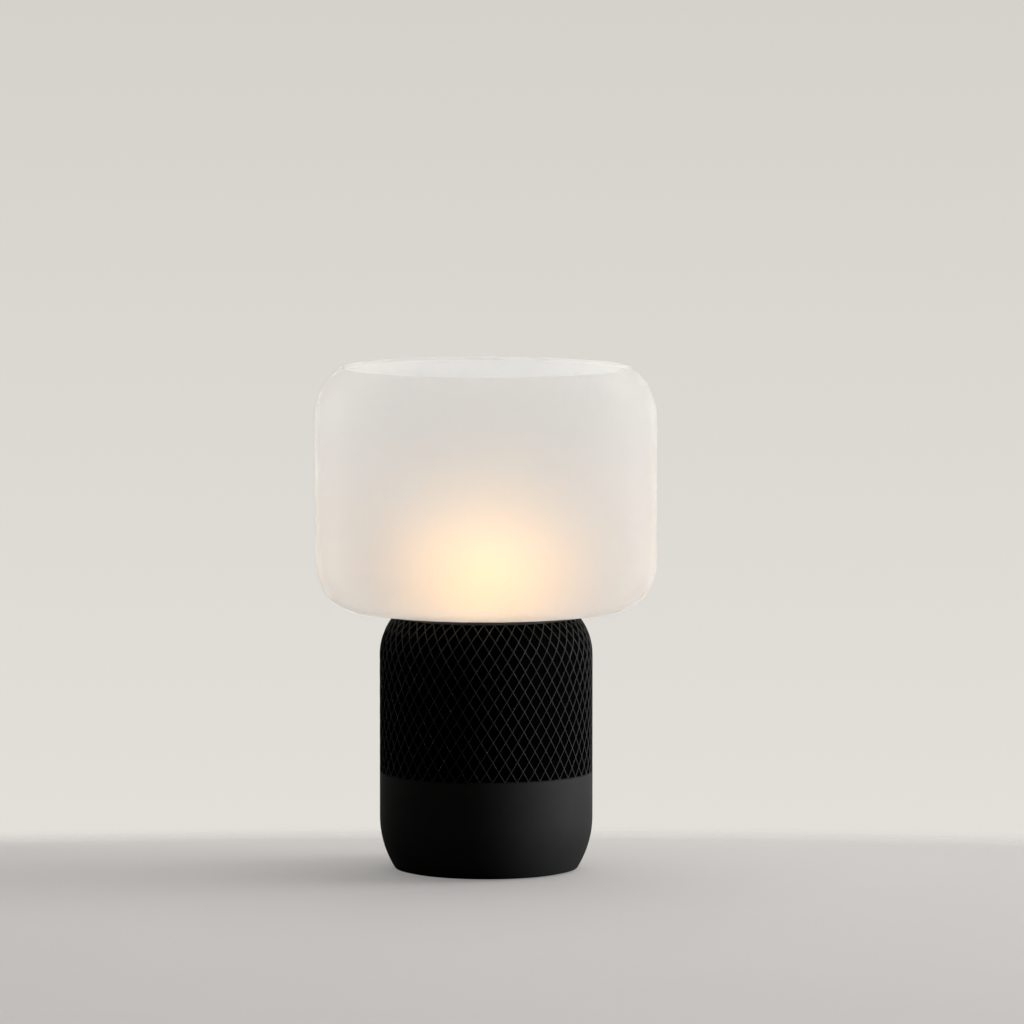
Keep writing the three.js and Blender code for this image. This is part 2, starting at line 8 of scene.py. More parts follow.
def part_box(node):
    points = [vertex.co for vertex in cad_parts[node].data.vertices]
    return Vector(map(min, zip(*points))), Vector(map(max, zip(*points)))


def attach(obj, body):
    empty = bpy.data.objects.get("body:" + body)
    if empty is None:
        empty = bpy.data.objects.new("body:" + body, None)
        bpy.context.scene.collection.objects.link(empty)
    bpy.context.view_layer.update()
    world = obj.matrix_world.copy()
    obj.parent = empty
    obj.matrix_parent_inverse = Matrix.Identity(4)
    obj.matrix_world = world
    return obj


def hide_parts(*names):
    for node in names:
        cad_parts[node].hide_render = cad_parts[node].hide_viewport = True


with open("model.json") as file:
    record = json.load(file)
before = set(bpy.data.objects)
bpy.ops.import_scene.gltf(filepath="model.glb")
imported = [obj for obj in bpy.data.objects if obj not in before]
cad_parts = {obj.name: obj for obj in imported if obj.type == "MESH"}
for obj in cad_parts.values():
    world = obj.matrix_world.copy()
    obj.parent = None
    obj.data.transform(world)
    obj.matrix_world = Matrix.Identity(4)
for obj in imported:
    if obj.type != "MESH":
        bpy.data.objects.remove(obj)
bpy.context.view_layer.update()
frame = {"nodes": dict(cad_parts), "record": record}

nodes = frame["nodes"]
MM = 0.001
TURN = 2 * math.pi

# ------------------------------------------------------------------ sizes, in millimetres


def span(node):
    """A CAD node's box as lists of millimetres, (low, high)."""
    low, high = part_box(node)
    return [v / MM for v in low], [v / MM for v in high]


SHADE_LOW, SHADE_HIGH = span("glass_shade")
HOUSING_LOW, HOUSING_HIGH = span("lower_housing")
GRILLE_LOW, GRILLE_HIGH = span("grille")
DECK_LOW, _ = span("top_deck")

CLEARANCE = 0.3  # between a piece and the one it sits in or on

BASE_R = GRILLE_HIGH[0]
TAPER_Z, TAPER_R = 34.6, 63.0  # below this height the base curves in, at this radius
SHOULDER_Z, SHOULDER_R = 139.4, 38.7  # and above this one
HOUSING_WALL = 2.6
GRILLE_WALL = 1.8
CLOTH_INSET = 0.7  # from the skin, just behind the ribs of the grille
CLOTH_WALL = 2.0

SHADE_R = SHADE_HIGH[0]
SHADE_SHOULDER_R, SHADE_SHOULDER_Z = 41.0, 292.3
SHADE_FOOT_R, SHADE_FOOT_H = 26.7, 33.9  # how far the lower corner reaches in and up
SHADE_FOOT_POWER = 0.93  # 1 would be a plain ellipse
SHADE_HOLE_R = 45.2
GLASS = 3.0

# ------------------------------------------------------------------ mesh helpers


SHARP_DEG = 35


def mark_sharp(bm, sharp_deg=SHARP_DEG):
    """Smooth shading everywhere, with the corners over sharp_deg kept crisp."""
    for face in bm.faces:
        face.smooth = True
    limit = math.radians(sharp_deg)
    for edge in bm.edges:
        edge.smooth = len(edge.link_faces) == 2 and edge.calc_face_angle(0) < limit


def finish_mesh(name, bm, sharp_deg=SHARP_DEG):
    """A new piece in the scene from a bmesh, which is used up."""
    bmesh.ops.recalc_face_normals(bm, faces=bm.faces)
    mark_sharp(bm, sharp_deg)
    mesh = bpy.data.meshes.new(name)
    bm.to_mesh(mesh)
    bm.free()
    piece = bpy.data.objects.new(name, mesh)
    bpy.context.scene.collection.objects.link(piece)
    return piece


def skinned(bm, rings, sides, closed):
    """Faces from each ring of vertices to the next. A ring may be one vertex, on the axis."""
    following = rings[1:] + (rings[:1] if closed else [])
    for lower, upper in zip(rings, following):
        for i in range(sides):
            corners = [
                lower[i % len(lower)], lower[(i + 1) % len(lower)],
                upper[(i + 1) % len(upper)], upper[i % len(upper)],
            ]
            corners = list(dict.fromkeys(corners))
            if len(corners) > 2:
                bm.faces.new(corners)


def eased(section, radius=0.3, steps=3):
    """A closed section with its corners rounded off, as [radius, height] pairs in millimetres."""
    points = [Vector(p) for p in section]
    out = []
    for i, p in enumerate(points):
        before, after = points[i - 1] - p, points[(i + 1) % len(points)] - p
        flat = min(before.length, after.length) < 1e-6 or before.angle(after) > math.radians(150)
        if p.x < 1e-6 or flat:
            out.append(p)
            continue
        half = before.angle(after) / 2
        back = min(radius / math.tan(half), before.length * 0.45, after.length * 0.45)
        start, end = p + before.normalized() * back, p + after.normalized() * back
        for k in range(steps + 1):
            t = k / steps
            out.append(start * (1 - t) ** 2 + p * 2 * t * (1 - t) + end * t ** 2)
    return out


def turned(name, section, sides=192, centre=(0, 0, 0), axis="z", ripple=None, sharp_deg=SHARP_DEG):
    """A turned piece. The section is a closed loop of [radius, height] pairs in millimetres.
    ripple(angle, radius, height) is added to the radius, for threads and grips."""
    bm = bmesh.new()
    rings = []
    for r, h in section:
        ring = []
        for i in range(1 if r < 1e-6 else sides):
            a = TURN * i / sides
            reach = r + (ripple(a, r, h) if ripple else 0)
            x, y = reach * math.cos(a), reach * math.sin(a)
            at = (x, y, h) if axis == "z" else (x, h, -y)
            ring.append(bm.verts.new((Vector(at) + Vector(centre)) * MM))
        rings.append(ring)
    skinned(bm, rings, sides, closed=True)
    return finish_mesh(name, bm, sharp_deg)


def block(name, low, high, ease=0.0):
    """A box from corner to corner in millimetres, with its edges rounded by ease."""
    bm = bmesh.new()
    size = Vector(high) - Vector(low)
    place = Matrix.Translation((Vector(low) + Vector(high)) / 2 * MM)
    bmesh.ops.create_cube(bm, size=1, matrix=place @ Matrix.Diagonal((*(size * MM), 1)))
    if ease:
        bmesh.ops.bevel(
            bm, geom=bm.edges[:], offset=ease * MM, segments=3, profile=0.5,
            affect="EDGES", clamp_overlap=True,
        )
    return finish_mesh(name, bm, 50)


def extruded(name, outline, y0, y1, centre, ease=0.0):
    """An outline of [x, z] pairs, drawn out along Y, with its end edges rounded by ease."""
    bm = bmesh.new()
    ends = []
    for y in (y0, y1):
        ends.append([bm.verts.new((Vector((x, y, z)) + Vector(centre)) * MM) for x, z in outline])
    caps = [bm.faces.new(ends[0]), bm.faces.new(ends[1][::-1])]
    count = len(outline)
    for i in range(count):
        bm.faces.new([ends[0][i], ends[1][i], ends[1][(i + 1) % count], ends[0][(i + 1) % count]])
    if ease:
        rims = [edge for cap in caps for edge in cap.edges]
        bmesh.ops.bevel(bm, geom=rims, offset=ease * MM, segments=2, profile=0.5, affect="EDGES")
    return finish_mesh(name, bm, 40)


def joined(name, pieces):
    """One piece from several closed meshes."""
    bm = bmesh.new()
    for piece in pieces:
        bm.from_mesh(piece.data)
        bpy.data.objects.remove(piece)
    return finish_mesh(name, bm)


def carved(piece, tools, operation="DIFFERENCE"):
    """The piece with each tool cut away, or joined on, or kept in common, applied to its mesh."""
    for tool in tools:
        cut = piece.modifiers.new("cut", "BOOLEAN")
        cut.object, cut.operation, cut.solver = tool, operation, "EXACT"
    bpy.context.view_layer.update()
    result = piece.evaluated_get(bpy.context.evaluated_depsgraph_get())
    bm = bmesh.new()
    bm.from_mesh(result.to_mesh())
    result.to_mesh_clear()
    piece.modifiers.clear()
    bmesh.ops.remove_doubles(bm, verts=bm.verts, dist=1e-6)
    mark_sharp(bm)
    bm.to_mesh(piece.data)
    bm.free()
    for tool in tools:
        bpy.data.objects.remove(tool)
    return piece


def arc(centre, radius, start, end, steps):
    """Points of a round stretch, from start to end in degrees."""
    out = []
    for i in range(steps + 1):
        a = math.radians(start + (end - start) * i / steps)
        out.append((centre[0] + radius * math.cos(a), centre[1] + radius * math.sin(a)))
    return out


def base_radius(z, inset=0.0):
    """Radius of the speaker's base at a height, set in by an inset from the outer skin."""
    if z < TAPER_Z:
        return BASE_R - TAPER_R + math.sqrt((TAPER_R - inset) ** 2 - (TAPER_Z - z) ** 2)
    if z > SHOULDER_Z:
        return BASE_R - SHOULDER_R + math.sqrt((SHOULDER_R - inset) ** 2 - (z - SHOULDER_Z) ** 2)
    return BASE_R - inset


def skin(z0, z1, inset=0.0, steps=24):
    """[radius, z] pairs up the base, with steps only on the curved stretches."""
    heights = {z0, z1}
    if z0 < TAPER_Z:
        heights |= {z0 + (min(TAPER_Z, z1) - z0) * i / steps for i in range(steps + 1)}
    if z1 > SHOULDER_Z:
        start = max(SHOULDER_Z, z0)
        heights |= {start + (z1 - start) * i / steps for i in range(steps + 1)}
    return [(base_radius(z, inset), z) for z in sorted(heights)]


# ------------------------------------------------------------------ materials


class Nodes:
    """A short way to build a node tree."""

    def __init__(self, tree):
        self.tree = tree

    def add(self, kind, inputs=(), **settings):
        node = self.tree.nodes.new(kind)
        for key, value in settings.items():
            setattr(node, key, value)
        for key, value in dict(inputs).items():
            if isinstance(value, bpy.types.NodeSocket):
                self.tree.links.new(value, node.inputs[key])
            else:
                node.inputs[key].default_value = value
        return node

    def noise(self, where, scale, detail=3.0, rough=0.5):
        sockets = {"Vector": where, "Scale": scale, "Detail": detail, "Roughness": rough}
        return self.add("ShaderNodeTexNoise", sockets).outputs["Fac"]

    def math(self, operation, a, b=0.0):
        return self.add("ShaderNodeMath", {0: a, 1: b}, operation=operation).outputs[0]

    def ranged(self, value, low, high, start=0.3, stop=0.7):
        sockets = {"Value": value, "From Min": start, "From Max": stop, "To Min": low, "To Max": high}
        return self.add("ShaderNodeMapRange", sockets).outputs["Result"]

    def mixed(self, factor, a, b):
        """A colour mix, whose factor and two colours are inputs 0, 6 and 7."""
        a, b = (c if isinstance(c, bpy.types.NodeSocket) else (*c, 1) for c in (a, b))
        return self.add("ShaderNodeMix", {0: factor, 6: a, 7: b}, data_type="RGBA").outputs[2]

    def bump(self, height, distance):
        sockets = {"Height": height, "Distance": distance, "Strength": 1.0}
        return self.add("ShaderNodeBump", sockets).outputs["Normal"]


def blank(name):
    """A new material with an empty tree, its node helper, and its object coordinates."""
    mat = bpy.data.materials.new(name)
    mat.use_nodes = True
    mat.node_tree.nodes.clear()
    n = Nodes(mat.node_tree)
    where = n.add("ShaderNodeTexCoord").outputs["Object"]
    return mat, n, where


def output(n, shader):
    """Puts a shader node on the material's surface."""
    n.add("ShaderNodeOutputMaterial", {"Surface": shader.outputs[0]})


def surface(
    name, colour, roughness, metallic=0.0, specular=0.5, variation=0.12, patch=60.0,
    rough_spread=0.06, grain=2500.0, grain_depth=0.00003, stretch=(1, 1, 1), sockets=(),
):
    """A finish with uneven colour and sheen over patches, and a fine grain in relief."""
    mat, n, where = blank(name)
    patches = n.noise(where, patch, 4.0, 0.6)
    darker = [c * (1 - variation) for c in colour]
    lighter = [min(1.0, c * (1 + variation)) for c in colour]
    along = n.add("ShaderNodeMapping", {"Vector": where, "Scale": stretch}).outputs["Vector"]
    relief = n.noise(along, grain, 2.0, 0.6)
    shader = n.add("ShaderNodeBsdfPrincipled", {
        "Base Color": n.mixed(n.ranged(patches, 0, 1), darker, lighter),
        "Roughness": n.ranged(relief, roughness - rough_spread, roughness + rough_spread),
        "Metallic": metallic,
        "Specular IOR Level": specular,
        "Normal": n.bump(relief, grain_depth),
        **dict(sockets),
    })
    output(n, shader)
    return mat


def woven(name, colour, threads, pitch, depth):
    """Cloth wrapped round the base: threads round it, and threads up it at the same pitch."""
    mat, n, where = blank(name)
    axes = n.add("ShaderNodeSeparateXYZ", {"Vector": where})
    angle = n.math("ARCTAN2", axes.outputs["Y"], axes.outputs["X"])
    across = n.math("SINE", n.math("MULTIPLY", angle, threads / 2))
    up = n.math("SINE", n.math("MULTIPLY", axes.outputs["Z"], math.pi / pitch))
    weave = n.math("MULTIPLY", across, up)
    fuzz = n.noise(where, 3000.0, 2.0)
    height = n.math("ADD", n.math("ABSOLUTE", weave), n.math("MULTIPLY", fuzz, 0.3))
    darker, lighter = [c * 0.5 for c in colour], [c * 1.5 for c in colour]
    shader = n.add("ShaderNodeBsdfPrincipled", {
        "Base Color": n.mixed(n.ranged(height, 0, 1, 0.1, 1.1), darker, lighter),
        "Roughness": 0.95,
        "Specular IOR Level": 0.0,
        "Normal": n.bump(height, depth),
    })
    output(n, shader)
    return mat


GLASS_TINT = (0.995, 0.988, 0.983)
GLASS_MILK = (0.93, 0.90, 0.88)
MILK_SHARE = (0.2, 0.34)  # face on, and at a glancing angle
MILK_BACK = 0.6  # the share of the cloudy part that throws light back


def frosted(name):
    """White frosted glass: very rough clear glass, partly clouded, with the faint waves of blown glass."""
    mat, n, where = blank(name)
    waves = n.noise(where, 9.0, 2.0, 0.4)
    frost = n.noise(where, 1800.0, 2.0, 0.6)
    normal = n.bump(n.math("ADD", waves, n.math("MULTIPLY", frost, 0.04)), 0.0003)
    cloud = n.noise(where, 14.0, 3.0, 0.5)
    milk = n.mixed(n.ranged(cloud, 0, 1), [c * 0.97 for c in GLASS_MILK], GLASS_MILK)
    glass = n.add("ShaderNodeBsdfPrincipled", {
        "Base Color": (*GLASS_TINT, 1),
        "Roughness": n.ranged(frost, 0.88, 0.95),
        "IOR": 1.5,
        "Transmission Weight": 1.0,
        "Normal": normal,
    })
    through = n.add("ShaderNodeBsdfTranslucent", {"Color": milk, "Normal": normal})
    front = n.add("ShaderNodeBsdfDiffuse", {"Color": milk, "Normal": normal})
    cloudy = n.add("ShaderNodeMixShader", {0: MILK_BACK, 1: through.outputs[0], 2: front.outputs[0]})
    edge = n.add("ShaderNodeLayerWeight", {"Blend": 0.5}).outputs["Facing"]
    share = n.ranged(edge, *MILK_SHARE, 0.6, 1.0)
    whole = n.add("ShaderNodeMixShader", {0: share, 1: glass.outputs[0], 2: cloudy.outputs[0]})
    output(n, whole)
    return mat


def circuit(name):
    """Solder mask with lighter tracks under it."""
    mat, n, where = blank(name)
    sockets = {"Vector": where, "Scale": 180.0, "Mortar Size": 0.03, "Brick Width": 0.7, "Row Height": 0.3}
    tracks = n.add("ShaderNodeTexBrick", sockets).outputs["Fac"]
    shader = n.add("ShaderNodeBsdfPrincipled", {
        "Base Color": n.mixed(tracks, (0.008, 0.055, 0.022), (0.02, 0.12, 0.05)),
        "Roughness": 0.4,
        "Normal": n.bump(tracks, 0.00005),
    })
    output(n, shader)
    return mat


BULB_COLOUR = (1.0, 0.57, 0.22)
BULB_POWER = 5.4
PAINTED_GLOW_POWER = 9.0  # strength of a painted glow on the white plastic, which is no lamp: the bulb's body, and the lamp holder, which shares its slot

FINISH = {
    "housing": surface(
        "matt_black_housing", (0.026, 0.026, 0.0262), 0.65, specular=0.1, variation=0.05,
        grain=3200.0, grain_depth=0.00002,
    ),
    "grille": surface(
        "black_grille", (0.046, 0.046, 0.0455), 0.6, specular=0.1, variation=0.06, grain=3000.0,
    ),
    "cloth": woven("acoustic_cloth", (0.002, 0.002, 0.002), 640, 0.65, 0.0001),
    "inner_plastic": surface(
        "black_inner_plastic", (0.013, 0.013, 0.014), 0.5, specular=0.3, grain=1500.0,
    ),
    "rubber": surface("black_rubber", (0.007, 0.007, 0.007), 0.8, specular=0.25, grain=1200.0),
    "frosted_glass": frosted("frosted_white_glass"),
    "opal": surface(
        "lit_opal", (1.0, 0.9, 0.72), 0.35, variation=0.02, rough_spread=0.03, grain=400.0,
        sockets={"Emission Color": (*BULB_COLOUR, 1), "Emission Strength": BULB_POWER},
    ),
    # painted glow: the white plastic gets the bulb's warm emission, though it gives no light of its own
    "white_plastic": surface(
        "white_plastic_painted_glow", (0.72, 0.71, 0.68), 0.42, variation=0.03, grain=1400.0,
        sockets={"Emission Color": (*BULB_COLOUR, 1), "Emission Strength": PAINTED_GLOW_POWER},
    ),
    "nickel": surface("nickel_plate", (0.62, 0.6, 0.56), 0.25, metallic=1.0, variation=0.08, grain=900.0),
    "brass": surface("brass", (0.62, 0.42, 0.16), 0.32, metallic=1.0, variation=0.15, grain=700.0),
    "steel": surface(
        "zinc_plate", (0.36, 0.37, 0.39), 0.38, metallic=1.0, variation=0.12, grain=900.0,
        stretch=(1, 8, 1),
    ),
    "ferrite": surface(
        "ferrite", (0.03, 0.03, 0.032), 0.75, variation=0.25, grain=900.0, grain_depth=0.0001,
    ),
    "cone": surface(
        "paper_cone", (0.012, 0.012, 0.012), 0.9, variation=0.3, grain=700.0, grain_depth=0.0001,
    ),
    "copper": surface(
        "copper_winding", (0.6, 0.24, 0.1), 0.35, metallic=1.0, grain=300.0, stretch=(1, 30, 1),
    ),
    "board": circuit("circuit_board"),
    "aluminium": surface(
        "aluminium", (0.52, 0.53, 0.55), 0.35, metallic=1.0, grain=700.0, stretch=(1, 12, 1),
    ),
    "clear": surface("clear_light_pipe", (0.75, 0.8, 0.82), 0.12, variation=0.03, grain=300.0),
}

SLOT_OF = {part["node"]: part["material_slot"] for part in frame["record"]["subparts"]}
BODIES = frame["record"]["behaviour"]["bodies"]
BODY_OF = {node: body for body, members in BODIES.items() for node in members}


def stand_for(piece, *cad_nodes):
    """The piece takes the place, body, slot and finish of these CAD nodes."""
    slot = SLOT_OF[cad_nodes[0]]
    piece.data.materials.clear()
    piece.data.materials.append(FINISH[slot])
    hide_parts(*cad_nodes)
    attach(piece, BODY_OF[cad_nodes[0]])
    return piece


# ------------------------------------------------------------------ shade


def foot_corner(r, z, across, up, steps=28):
    """The lower corner, from the wall in to the underside."""
    out = []
    for i in range(steps + 1):
        a = i / steps * math.pi / 2
        out.append((
            r - across * (1 - math.cos(a) ** SHADE_FOOT_POWER) if i < steps else r - across,
            z + up * (1 - math.sin(a) ** SHADE_FOOT_POWER),
        ))
    return out


def make_shade():
    """The blown glass: an outside and an inside wall, open at the rim and at the hole in the foot."""
    low, rim = SHADE_LOW[2], SHADE_HIGH[2]
    centre = (SHADE_R - SHADE_SHOULDER_R, SHADE_SHOULDER_Z)
    end = math.degrees(math.asin((rim - SHADE_SHOULDER_Z) / SHADE_SHOULDER_R))
    outside = foot_corner(SHADE_R, low, SHADE_FOOT_R, SHADE_FOOT_H)[::-1]
    outside += arc(centre, SHADE_SHOULDER_R, 0, end, 24)
    inside = arc(centre, SHADE_SHOULDER_R - GLASS, end, 0, 24)
    inside += foot_corner(SHADE_R - GLASS, low + GLASS, SHADE_FOOT_R - GLASS, SHADE_FOOT_H - GLASS)
    hole = [(SHADE_HOLE_R, low + GLASS), (SHADE_HOLE_R, low)]
    section = eased(outside + inside + hole, 0.5)
    stand_for(turned("glass_shade_blown", section, 256), "glass_shade")


def sector(name, r0, r1, z0, z1, start, end, steps=16):
    """A turned stretch between two angles in degrees."""
    bm = bmesh.new()
    section = ((r0, z0), (r1, z0), (r1, z1), (r0, z1))
    rows = []
    for i in range(steps + 1):
        a = math.radians(start + (end - start) * i / steps)
        corners = [(r * math.cos(a), r * math.sin(a), z) for r, z in section]
        rows.append([bm.verts.new(Vector(corner) * MM) for corner in corners])
    for row, after in zip(rows, rows[1:]):
        for k in range(4):
            bm.faces.new([row[k], row[(k + 1) % 4], after[(k + 1) % 4], after[k]])
    bm.faces.new(rows[0])
    bm.faces.new(rows[-1])
    return finish_mesh(name, bm)


LUG_ANGLES = (90, 210, 330)
LUG_HALF = 8  # degrees to each side
OVERLAP = 0.6  # how far a joined-on part runs into its neighbour
CLAMP_R, CLAMP_TOP = 51.0, 175.2
CLAMP_GRIPS, GRIP_DEPTH = 36, 0.7


def make_shade_mount():
    """The adapter below the glass, the gripped ring that clamps it, and the washer it rests on."""
    r0, neck, flange, z0, flange_z, z1 = 41.0, 44.8, 49.2, 164.1, 168.4, 176.0
    ring = turned("shade_adapter_ring", eased([
        (r0, z0), (flange, z0), (flange, flange_z), (neck, flange_z), (neck, z1), (r0, z1),
    ]))
    lugs = [
        sector(f"lug_{a}", 38, r0 + OVERLAP, z0 + 0.05, 166.6, a - LUG_HALF, a + LUG_HALF)
        for a in LUG_ANGLES
    ]
    stand_for(carved(ring, lugs, "UNION"), "shade_adapter")

    def grip(angle, r, _):
        on_rim = r > CLAMP_R - 1.5
        return -GRIP_DEPTH * max(0.0, math.cos(CLAMP_GRIPS * angle)) ** 2 if on_rim else 0.0

    low, inner = SHADE_LOW[2] + GLASS + CLEARANCE, neck + CLEARANCE
    section = eased([(inner, low), (CLAMP_R, low), (CLAMP_R, CLAMP_TOP), (inner, CLAMP_TOP)], 0.4)
    stand_for(turned("shade_clamp_ring_gripped", section, 288, ripple=grip), "shade_clamp_ring")
    washer = eased([(41.2, 162.3), (48.5, 162.3), (48.5, 163.8), (41.2, 163.8)])
    stand_for(turned("seat_washer_ring", washer), "seat_washer")


# ------------------------------------------------------------------ bulb and holder
THREAD_PITCH = 2.82
THREAD_RINGS = 90
SLEEVE_R, SLEEVE_WALL, SLEEVE_WAVE = 7.58, 0.2, 0.16
CAP_WAVE = 0.28


def make_lamp_holder():
    """The moulded holder, and inside it the sleeve that the bulb's thread turns in."""
    z0, z1, r, bore, floor = 130.8, 161.0, 13.5, 8.0, 3.8
    holder = turned("lamp_holder_moulded", eased([
        (0, z0), (18, z0), (18, z0 + 2), (r, z0 + 4), (r, z1),
        (bore, z1), (bore, z0 + floor), (0, z0 + floor),
    ], 0.6), 96)
    # the holder shares the white plastic's painted glow
    stand_for(holder, "lamp_holder")

    def rib(angle, _, height):
        return SLEEVE_WAVE * math.sin(TURN * height / THREAD_PITCH - angle)

    low, high = z0 + floor + CLEARANCE, z1 - 2
    heights = [low + (high - low) * i / THREAD_RINGS for i in range(THREAD_RINGS + 1)]
    section = [(SLEEVE_R, h) for h in heights]
    section += [(SLEEVE_R - SLEEVE_WALL, h) for h in reversed(heights)]
    stand_for(turned("thread_sleeve_rolled", section, 64, ripple=rib, sharp_deg=60), "thread_sleeve")


def make_bulb():
    """A small round bulb: threaded cap, white plastic body and opal dome."""
    tip, cap_r, cap_top, neck, ball_r, ball_z, wall = 136.4, 6.9, 161.5, 182.0, 22.5, 190.0, 1.2

    def rib(angle, r, height):
        on_thread = cap_r - 0.6 < r and tip + 5 < height < cap_top - 3.5
        return CAP_WAVE * (math.sin(TURN * height / THREAD_PITCH - angle) - 1) if on_thread else 0.0

    wall_z = tip + 3.8
    rise = cap_top - wall_z
    thread = [(cap_r, wall_z + rise * i / THREAD_RINGS) for i in range(THREAD_RINGS + 1)]
    contact = [(0, tip), (2.6, tip), (3, tip + 0.5), (3, tip + 1.6), (6.4, tip + 3.2)]
    cap = [*contact, *thread, (0, cap_top)]
    stand_for(turned("bulb_cap_threaded", cap, 64, ripple=rib, sharp_deg=60), "bulb_cap")

    seam = math.sqrt(ball_r ** 2 - (ball_z - neck) ** 2)
    foot = cap_top + CLEARANCE
    body = [(0, foot), (8, foot), (8.3, 163.5), (9.5, 167), (11.3, 170.3), (13.5, 173)]
    body += [(16, 175.8), (18.3, 178.3), (20, 180.2), (seam, neck - 0.6), (seam, neck), (0, neck)]
    # the body wears the white plastic's painted glow
    stand_for(turned("bulb_body_moulded", body, 96, sharp_deg=50), "bulb_body")

    drop = ball_z - neck - CLEARANCE
    low = -math.degrees(math.asin(drop / ball_r))
    inner_low = -math.degrees(math.asin(drop / (ball_r - wall)))
    inside = arc((0, ball_z), ball_r - wall, 90, inner_low, 24)
    outside = arc((0, ball_z), ball_r, low, 90, 32)
    section = [(r if r > 1e-5 else 0.0, z) for r, z in inside + outside]
    stand_for(turned("bulb_dome_blown", section, 96), "bulb_dome")


# ------------------------------------------------------------------ deck and collar


LEGS_AT = ((39.5, 14.4), (-39.5, 14.4), (0, 42))
LEG_R = 4.0


def make_deck():
    """The plastic top of the base, with a well for the lamp holder and a recess for the collar."""
    floor_low, floor, rim, well_r, well_z, recess = 159.0, 162.0, 168.0, 21.0, 128.0, 50.0
    hole, wall, edge = 6.0, 2.5, GRILLE_HIGH[2] + CLEARANCE
    inner = base_radius(GRILLE_HIGH[2], GRILLE_WALL + 1.5)
    section = eased([
        (hole, well_z), (well_r + wall, well_z), (well_r + wall, floor_low), (inner, floor_low),
        (inner, edge), (base_radius(edge), edge), (base_radius(rim), rim), (recess, rim),
        (recess, floor), (well_r, floor), (well_r, well_z + wall), (hole, well_z + wall),
    ], 0.4)
    foot, top = DECK_LOW[2], floor_low + 1
    leg = [(0, foot), (LEG_R, foot), (LEG_R, top), (0, top)]
    legs = [turned("leg", leg, 24, (x, y, 0)) for x, y in LEGS_AT]
    deck = carved(turned("top_deck_moulded", section, 256), legs, "UNION")
    stand_for(deck, "top_deck")

    r0, r1, ledge_r, z0, ledge, z1 = 33.0, 37.4, 40.4, 162.3, 167.2, 170.0
    collar = turned("bayonet_collar_moulded", eased([
        (30, z0), (r1, z0), (r1, z1), (r0, z1), (r0, z0 + 1.6), (30, z0 + 1.6),
    ]))
    ledges = [
        sector(f"ledge_{a}", r1 - OVERLAP, ledge_r, ledge, z1 - 0.05, a + 12, a + 108, 40)
        for a in LUG_ANGLES
    ]
    stand_for(carved(collar, ledges, "UNION"), "bayonet_collar")


# ------------------------------------------------------------------ grille
DIAMONDS = 54  # round the base
DIAMOND_H = 12.877
DIAMOND_ROWS = 8
LEAN = 0.0188  # degrees that the pattern turns for each millimetre up
FIRST_NODE = 3.474  # degrees from the front to the first crossing on the joint line
RIB_HALF = 0.3
RIB_DEEP = 0.6
RIB_STEPS = 3  # stretches along each side of a hole, to follow the round wall
JOINT_LIP = 0.12  # the plain edge left on the joint line
# across half a rib: share of the way from its centre line to its edge, and depth below the skin
RIB_SECTION = ((0, 0), (0.65, 0.04), (1, 0.2), (1, RIB_DEEP), (0, RIB_DEEP))


def on_grille(u, v, depth):
    """A point of the grille: u diamonds round, v diamonds up the skin, and a depth below it."""
    along = v * DIAMOND_H
    bend = max(0.0, (along - (SHOULDER_Z - GRILLE_LOW[2])) / SHOULDER_R)
    r = BASE_R - SHOULDER_R + (SHOULDER_R - depth) * math.cos(bend)
    z = (SHOULDER_Z + (SHOULDER_R - depth) * math.sin(bend)) if bend else GRILLE_LOW[2] + along
    a = math.radians(FIRST_NODE + LEAN * along + u * 360 / DIAMONDS)
    return Vector((r * math.sin(a), -r * math.cos(a), z)) * MM


def shrunk(corners, insets, width):
    """A polygon of (u, v) corners with each side moved in by its inset in millimetres."""
    flat = [Vector((u * width, v * DIAMOND_H)) for u, v in corners]
    count = len(flat)
    lines = []
    for i in range(count):
        a, b = flat[i], flat[(i + 1) % count]
        along = (b - a).normalized()
        inward = Vector((-along.y, along.x))
        lines.append((a + inward * insets[i], along))
    out = []
    for i in range(count):
        (p, d), (q, e) = lines[i - 1], lines[i]
        t = ((q.x - p.x) * e.y - (q.y - p.y) * e.x) / (d.x * e.y - d.y * e.x)
        at = p + d * t
        out.append((at.x / width, at.y / DIAMOND_H))
    return out


def hole_in(bm, corners, insets, edges):
    """The ribs round one hole. A side listed in edges is the grille's own edge, and gets an end face."""
    centre_v = sum(v for _, v in corners) / len(corners)
    radius = on_grille(0, centre_v, 0).xy.length / MM
    inner = shrunk(corners, insets, TURN * radius / DIAMONDS)
    count = len(corners)
    for side in range(count):
        ends = (side, (side + 1) % count)
        rows = []
        for k in range(RIB_STEPS + 1):
            t = k / RIB_STEPS
            out = [corners[ends[0]][c] * (1 - t) + corners[ends[1]][c] * t for c in (0, 1)]
            rim = [inner[ends[0]][c] * (1 - t) + inner[ends[1]][c] * t for c in (0, 1)]
            row = []
            for share, depth in RIB_SECTION:
                u, v = (out[c] * (1 - share) + rim[c] * share for c in (0, 1))
                row.append(bm.verts.new(on_grille(u, v, depth)))
            rows.append(row)
        last = len(RIB_SECTION) if side in edges else len(RIB_SECTION) - 1
        for row, after in zip(rows, rows[1:]):
            for k in range(last):
                m = (k + 1) % len(RIB_SECTION)
                bm.faces.new([row[k], row[m], after[m], after[k]])


def top_band(bm, u0, u1, v0, v1):
    """The plain edge above the highest row of holes."""
    for k in range(RIB_STEPS):
        a, b = (u0 + (u1 - u0) * (k + s) / RIB_STEPS for s in (0, 1))
        loop = ((v0, 0), (v1, 0), (v1, GRILLE_WALL), (v0, GRILLE_WALL), (v0, RIB_DEEP))
        first, second = ([bm.verts.new(on_grille(u, v, d)) for v, d in loop] for u in (a, b))
        for m in range(len(loop) - 1):
            bm.faces.new([first[m], first[m + 1], second[m + 1], second[m]])


